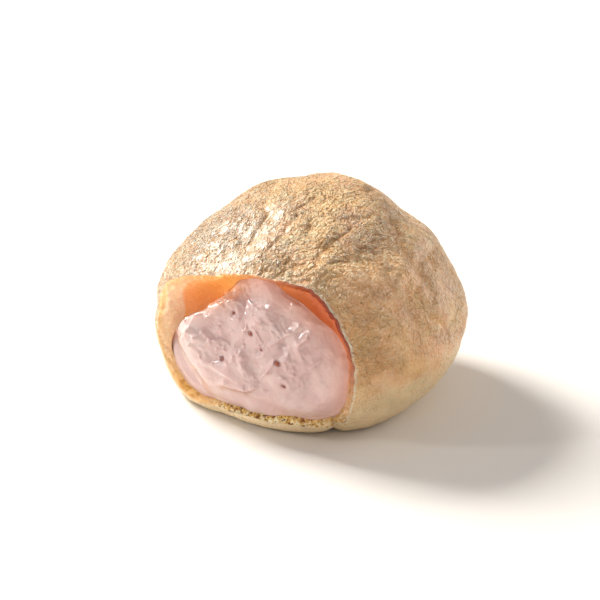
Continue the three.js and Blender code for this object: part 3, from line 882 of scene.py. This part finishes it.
CREAM_GAP = 0.12
FACE_DISTANCE = 29.2  # from HEART to the face along the opening's axis
FACE_BULGE, FACE_RADIUS = 3.0, 26.0
FACE_SHARPNESS = 1.3  # per mm: how tight the corner between the face and the filled bun is
FACE_END = np.pi / 2.2  # off the axis; past it there is only the filling
FALL = dict(clock=222, half_turn=36, depth=3.0)  # the face falls away low on the left
CLING = 0.34  # how far the edge climbs the lining
SHOULDER = dict(clock=168, rise=1.1)  # it bulges out on the left
FROTH = dict(clock=143, half_turn=44, rise=0.5)  # and is frothy along the upper left edge
RIDGES = [  # from azimuth, elevation, to azimuth, elevation, height, widths of the left and right flanks
    # the shelf low on the left, and the shoulder by the web
    (-14, -18.5, 2, -16, 0.4, 2.6, 2.0), (-41.5, -5, -33, 2.5, 0.7, 0.9, 1.2),
    (-33, 2.5, -29, 12, 0.8, 0.9, 1.2), (-29, 12, -22.5, 18, 0.8, 0.9, 1.2),
    (-22.5, 18, -10.5, 25, 0.8, 0.8, 1.2),
    # broad soft folds
    (-19, 17, -18, 8, 0.5, 1.2, 1.4), (-6, -1, -1, -10, 0.7, 1.2, 1.6), (23, 12, 28, -1, 0.7, 1.2, 1.8),
    (-12, 8, -5, 11, 0.5, 0.8, 1.0), (8, 22, 14, 15, 0.5, 1.0, 1.5), (30, 6, 34, -6, 0.5, 1.2, 1.5),
    (-25, -9, -12, -12, 0.6, 1.8, 0.9),
    # short torn ridges
    (-32, -2.5, -26, 4.5, 0.5, 0.9, 0.6), (-23, -1, -18.5, 3, 0.4, 0.8, 0.6),
    (-31, 4.5, -27, 1.5, 0.75, 0.7, 0.9), (-24.5, 3.5, -21, 0.5, 0.7, 0.7, 0.8),
    (-21, 2.5, -18, 0.5, 0.6, 0.6, 0.7), (25.5, 11, 29.5, 15, 0.6, 0.9, 0.6),
    (11, 7.5, 15, 10.5, 0.55, 0.8, 0.6), (17, 12.5, 20, 14.5, 0.5, 0.7, 0.5),
    (21.5, 15, 24.5, 18, 0.55, 0.8, 0.5), (3, -0.5, 7, 2, 0.5, 0.7, 0.5),
    (16, 0.5, 19.5, 3, 0.5, 0.7, 0.5), (30.5, 1, 33.5, 4, 0.5, 0.7, 0.5),
    (-3.5, -18.5, 3, -15, 0.7, 1.0, 0.7), (-19, -21, -14, -16.5, 0.7, 1.0, 0.7),
    (-12.5, -20.5, -6.5, -18.5, 0.5, 0.8, 0.6), (6, -9.5, 10, -4.5, 0.7, 0.6, 0.5),
    (10, -4.5, 13, 0, 0.7, 0.6, 0.5),
    (-16.3, -18.9, -11.8, -19.5, 0.9, 0.5, 0.6), (-7.5, -19, -3.5, -17.5, 0.5, 0.5, 0.6),
    (-31.7, -2.3, -28.7, 1.4, 0.8, 0.5, 0.5), (-26.4, -1.7, -23.5, 1, 0.8, 0.5, 0.5),
    (25, 10, 28.5, 13.5, 0.8, 0.5, 0.5), (-24, 12.5, -16.5, 21, 0.6, 0.5, 0.5),
    (-12.5, 22.5, -10, 25.5, 0.6, 0.8, 0.6), (-25, 12, -22, 15.5, 0.5, 0.7, 0.5),
    (20, 25, 22.5, 27.5, 0.6, 0.8, 0.6),
]
PEAKS = [  # azimuth, elevation, height, half width; hollows have a height below 0
    (-19, 3.3, 0.6, 0.6), (6, 4.8, 0.4, 0.45), (28, 12.9, 0.5, 0.8), (-28, 2, 0.5, 0.9),
    (17.1, 9.2, -0.8, 1.1), (4, 3, -0.4, 0.7), (-16, -5.5, -0.6, 1.3), (-11, 18.9, -0.6, 1.1),
    (17.9, -10.4, -0.5, 1.1),
]


def face_radius(clock, off):
    """Distance from HEART to the face without relief: a shallow dome about the opening's axis, which
    falls away low on the left and swells at the left shoulder."""
    tilt = np.minimum(off, FACE_END)
    from_middle = FACE_DISTANCE * np.tan(tilt) / FACE_RADIUS
    dome = FACE_DISTANCE + FACE_BULGE * (1 - np.minimum(from_middle**2, 1.6))
    fall = ramp(off, radians(28), radians(50)) * bell_round(clock, FALL["clock"], FALL["half_turn"])
    swell = bell_round(clock, SHOULDER["clock"], 15) * ramp(off, radians(24), radians(37))
    return (dome - FALL["depth"] * fall) / np.cos(tilt) + SHOULDER["rise"] * swell


def face_relief(clock, off, to_lining):
    """The cream's face in mm above its dome: waves and soft lumps, torn and ridged noise where it was
    stirred, froth near the lining, ridges that fall off as e to the minus power 1.5 of the distance in
    flank widths, and bell-shaped peaks and hollows."""
    way = about(clock, off)
    points = way * face_radius(clock, off)[..., None]
    drag = np.stack([grain(points, 8, 61 + k) for k in range(3)], -1)
    flowing = points + 2.2 * drag
    relief = 0.55 * waves(points, 13, 4.1) + 0.4 * grain(flowing, 7.5, 64)
    relief += 0.25 * grain(flowing, 3.8, 65) + 0.07 * grain(flowing, 1.3, 67)
    stirred = ramp(elevation_of(way), -22, -14) * ramp(grain(points, 9, 70), -0.25, 0.35)
    torn = ramp(grain(flowing, 1.7, 66), 0.25, 0.7) + 0.5 * ridged(grain(flowing, 4.2, 69))
    torn += 0.4 * ridged(grain(flowing, 2.1, 74)) * ramp(grain(points, 6, 75), -0.1, 0.35)
    relief += 0.5 * stirred * torn
    frothy = bell_round(clock, FROTH["clock"], FROTH["half_turn"])
    frothy *= bell(to_lining, radians(-3), radians(4))
    bubbles = grain(flowing, 1.4, 72) + 0.6 * ridged(grain(flowing, 2.4, 73)) - 0.2
    relief += FROTH["rise"] * frothy * bubbles
    bent = way + 0.014 * drag
    for *ends, rise, left, right in RIDGES:
        away, side = off_chord(bent, compass(*ends[:2]), compass(*ends[2:]))
        width = right + (left - right) * (0.5 + 0.5 * side)
        relief += 1.3 * rise * np.exp(-((away * FACE_DISTANCE / width) ** 1.5))
    for azimuth, elevation, rise, width in PEAKS:
        away = np.linalg.norm(way - compass(azimuth, elevation), axis=-1) * FACE_DISTANCE
        relief += rise * bell(away, 0, width)
    return relief


def cream_radius(clock, off):
    """Distance from HEART to the cream: the soft minimum of the filled bun and the face. The filled bun
    follows the crust's lining, and climbs it by a wavering bell where the lining begins."""
    way = about(clock, off)
    grip = ramp(off, 0, radians(12))
    to_lining = off - np.radians(round_the_clock(INNER_DEGREES, clock))
    cling = CLING * (0.6 + ring_grain(clock, 44, 71)) * bell(to_lining, radians(0.2), radians(1.1))
    spill = bell_round(clock, SHOULDER["clock"], 16) * bell(to_lining, radians(0.6), radians(2.4))
    filled = plain_radius(way) - grip * wall_thickness(clock, off) - CREAM_GAP
    filled += cling + SHOULDER["rise"] * spill
    face = face_radius(clock, off) + face_relief(clock, off, to_lining)
    return np.where(off > FACE_END, filled, blended([filled, face], -FACE_SHARPNESS))


CREAM_COLUMNS = 400
FACE_ROWS = 190
HIDDEN_ROWS = 34
FINE_TO = radians(62)  # off the axis, where the closely set rows of the face end
v = np.concatenate([
    np.linspace(0, 1, FACE_ROWS + 1)[1:] * FINE_TO,
    FINE_TO + np.linspace(0, 1, HIDDEN_ROWS + 1)[1:-1] * (np.pi - FINE_TO),
])[::-1, None]
cream_clock, cream_off = np.broadcast_arrays(np.arange(CREAM_COLUMNS) / CREAM_COLUMNS * 2 * np.pi, v)
cream_way = about(cream_clock, cream_off)
cream_points = cream_way * cream_radius(cream_clock, cream_off)[..., None] + HEART
poles = [
    about(np.zeros(1), np.array([off]))[0] * cream_radius(np.zeros(1), np.array([off]))[0] + HEART
    for off in (np.pi, 0.0)
]
# Near the orange web and the right-hand wall the cream gets a painted orange glow reflected from them.
to_wall = np.radians(round_the_clock(INNER_DEGREES, cream_clock)) - cream_off
to_wall = np.maximum(to_wall, 0) * FACE_DISTANCE
wall_glow = np.exp(-to_wall / 3) * bell_round(cream_clock, 30, 66)
smeared = bell(to_wall, 0, 3.4) * bell_round(cream_clock, 130, 28)
SEEDS = [  # azimuth, elevation, length in mm, turn in degrees
    (15.1, 0.2, 1.5, 20), (-0.1, 11.4, 1.25, 70), (-16, -5.5, 1.0, 100), (17.9, -10.4, 0.9, 150),
    (-11.2, 18.9, 0.55, 40), (5.9, 4.4, 0.5, 10),
]
# The cream is darker red in a ring round each seed.
seed_ring = 0
for azimuth, elevation, length, _ in SEEDS:
    away = np.linalg.norm(cream_way - compass(azimuth, elevation), axis=-1) * FACE_DISTANCE
    seed_ring += bell(away, 0.4 * length, 0.3)
attributes = {"wall_glow": wall_glow, "smeared": smeared, "seed_ring": seed_ring}
cream = closed_grid("strawberry_cream", cream_points, *poles, attributes)

CREAM_PINK = shade(211, 176, 171)
CREAM_PALE = shade(219, 192, 186)
CREAM_DEEP = shade(186, 142, 137)
# Painted orange glow reflected from the wall.
CREAM_GLOW = shade(242, 162, 124)
CREAM_SMEAR = shade(255, 184, 132)
BERRY = shade(120, 40, 34)

paint = Paint("whipped_strawberry_cream")
height = paint.node("ShaderNodeSeparateXYZ", {0: paint.place}).outputs[2]
smears = paint.between(paint.noise(2.0, 3, 8.0), 0.2, 0.6, 0.3, 1)
flecks = paint.times(
    paint.between(paint.spots(2.4, 5.0), 0.1, 0.04), paint.between(paint.noise(6, 2, 4.0), 0.5, 0.6)
)
# Paler and deeper swirls, deeper towards the top, with a painted orange glow reflected from the wall
# near it, and its smears there. It is darker red in a ring round each seed, with faint berry flecks.
color = paint.layers(
    CREAM_PINK,
    (paint.between(paint.noise(9, 3, 3.0, 0.5), 0.45, 0.7), CREAM_PALE),
    (paint.between(paint.noise(5, 2, 7.0), 0.55, 0.8, 0, 0.5), CREAM_DEEP),
    (paint.between(height, 0.032, 0.048, 0, 0.5), CREAM_DEEP),
    (paint.times(paint.attribute("wall_glow"), 0.8), CREAM_GLOW),
    (paint.times(paint.attribute("smeared"), smears), CREAM_SMEAR),
    (paint.times(paint.attribute("seed_ring"), 0.85), BERRY),
    (paint.times(flecks, 0.4), BERRY),
)
normal = paint.bump(paint.noise(2.6, 2, 2.0, 0.5, distortion=1.0), 0.5, 0.5)
normal = paint.bump(paint.noise(0.9, 3, 1.0, 0.6), 0.16, 0.5, normal)
cream.data.materials.append(
    paint.finish(
        color,
        0.25,
        normal,
        Subsurface_Weight=0.35,
        Subsurface_Scale=0.0013,
        Subsurface_Radius=(1.0, 0.55, 0.5),
        Specular_IOR_Level=0.6,
        Coat_Weight=0.8,
        Coat_Roughness=0.07,
    )
)
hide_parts("cream")
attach(cream, "root")

# ---- The seeds ----------------------------------------------------------------------------------
# Strawberry seeds that stand out of the cut cream. Each is a pointed drop, brown and shiny.

SEED_ROWS, SEED_COLUMNS = 9, 12
SEED_HALF_WIDTH, SEED_FLATNESS, SEED_POINT = 0.42, 0.8, 0.25  # the first as a share of the length
SEED_LIFT = 0.02  # mm


def seed_rows(azimuth, elevation, length, turn):
    """A drop: at cos(a)/2 along it, a going from pole to pole, its half width is sin(a) (1 - point
    cos a). It is flattened, and laid half sunk on the cream's face."""
    way = compass(azimuth, elevation)
    off = np.arccos(way @ AXIS)
    clock = np.arctan2(way @ UPWARD, way @ ACROSS)
    middle = HEART + way * (cream_radius(np.array([clock]), np.array([off]))[0] + SEED_LIFT)
    a = np.linspace(0, np.pi, SEED_ROWS + 2)[:, None]
    b = np.arange(SEED_COLUMNS) / SEED_COLUMNS * 2 * np.pi
    half = SEED_HALF_WIDTH * np.sin(a) * (1 - SEED_POINT * np.cos(a))
    long, wide, deep = np.broadcast_arrays(
        np.cos(a) / 2, half * np.cos(b), SEED_FLATNESS * half * np.sin(b)
    )
    side = np.cos(radians(turn)) * ACROSS + np.sin(radians(turn)) * UPWARD
    other = np.cross(way, side)
    return middle + length * (
        long[..., None] * side + wide[..., None] * other + deep[..., None] * way
    )


SEED_BROWN = shade(180, 92, 54)
SEED_DARK = shade(120, 40, 22)
paint = Paint("strawberry_seed")
seed_material = paint.finish(
    paint.mix(paint.noise(0.7, 2, 1.0), SEED_DARK, SEED_BROWN),
    0.22,
    paint.bump(paint.noise(0.3, 2), 0.05, 0.4),
    Specular_IOR_Level=0.6,
    Coat_Weight=0.4,
    Coat_Roughness=0.05,
)
for number, seed in enumerate(SEEDS, 1):
    rows = seed_rows(*seed)  # its first and last rows are the two poles
    piece = closed_grid(f"seed_{number}", rows[1:-1], rows[0, 0], rows[-1, 0], {})
    piece.data.materials.append(seed_material)
    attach(piece, "root")

# ---- The table, the light and the camera --------------------------------------------------------
# A plain pale table. The main lamp is a soft one high on the left, with a small window lamp for glints
# and a low bounce lamp beside it. A broad weak lamp stands in front on the right, and one behind on the
# right lights the edge.

TABLE_SIZE = 3.0
TABLE_TONES = shade(226, 222, 216), shade(230, 226, 220)
bpy.ops.mesh.primitive_grid_add(x_subdivisions=2, y_subdivisions=2, size=TABLE_SIZE)
floor = bpy.context.object
floor.name = "table"
paint = Paint("pale_table")
color = paint.mix(paint.noise(40, 2, 1.0), *TABLE_TONES)
floor.data.materials.append(paint.finish(color, 0.7, paint.bump(paint.noise(2, 2), 0.02, 0.1)))

LAMPS = [  # name, azimuth, elevation, distance and side in metres, watts, tint
    ("key_lamp", -98, 40, 0.9, 0.28, 15.0, (1.0, 0.98, 0.95)),
    ("window_lamp", -48, 25, 0.9, 0.08, 1.5, (1.0, 0.98, 0.96)),
    ("front_lamp", 46, 36, 1.3, 1.0, 2.4, (1.0, 0.97, 0.95)),
    ("bounce_lamp", -60, 4, 0.9, 0.6, 1.6, (1.0, 0.97, 0.93)),
    ("edge_lamp", 150, 10, 1.0, 0.6, 6.0, (1.0, 0.95, 0.92)),
]
LAMPS_AIM = np.array([0, 0, 0.025])
for name, azimuth, elevation, distance, side, watts, tint in LAMPS:
    lamp = bpy.data.lights.new(name, "AREA")
    lamp.shape, lamp.size, lamp.energy, lamp.color = "SQUARE", side, watts, tint
    held = bpy.data.objects.new(name, lamp)
    held.location = compass(azimuth, elevation) * distance + LAMPS_AIM
    held.rotation_euler = Vector(compass(azimuth, elevation)).to_track_quat("Z", "Y").to_euler()
    bpy.context.scene.collection.objects.link(held)

ROOM_TINT, ROOM_LIGHT = (1.0, 0.97, 0.95, 1), 0.365
world = bpy.data.worlds.new("studio")
world.use_nodes = True
world.node_tree.nodes["Background"].inputs[0].default_value = ROOM_TINT
world.node_tree.nodes["Background"].inputs[1].default_value = ROOM_LIGHT
bpy.context.scene.world = world

CAMERA_AZIMUTH, CAMERA_ELEVATION = 30.0, 23.75
CAMERA_DISTANCE = 750.0
PIXELS_PER_MM = 3.54  # at the middle of the base
IMAGE_PIXELS = 600
BASE_PIXEL = (310.0, 391.0)  # where the middle of the base falls in the image
SENSOR = 36.0
toward = compass(CAMERA_AZIMUTH, CAMERA_ELEVATION)
right = np.array([np.cos(radians(CAMERA_AZIMUTH)), np.sin(radians(CAMERA_AZIMUTH)), 0])
up = np.cross(toward, right)
x = (BASE_PIXEL[0] - IMAGE_PIXELS / 2) / PIXELS_PER_MM
y = (IMAGE_PIXELS / 2 - BASE_PIXEL[1]) / PIXELS_PER_MM
camera_data = bpy.data.cameras.new("camera")
camera_data.sensor_width = SENSOR
camera_data.lens = PIXELS_PER_MM * CAMERA_DISTANCE / IMAGE_PIXELS * SENSOR
camera_data.clip_start, camera_data.clip_end = 0.01, 20
camera = bpy.data.objects.new("camera", camera_data)
turned = Matrix(np.stack([right, up, toward], 1).tolist()).to_4x4()
camera.matrix_world = Matrix.Translation((CAMERA_DISTANCE * toward - x * right - y * up) * MM) @ turned
bpy.context.scene.collection.objects.link(camera)
bpy.context.scene.camera = camera
bpy.context.scene.view_settings.view_transform = "Standard"
bpy.context.scene.view_settings.look = "None"
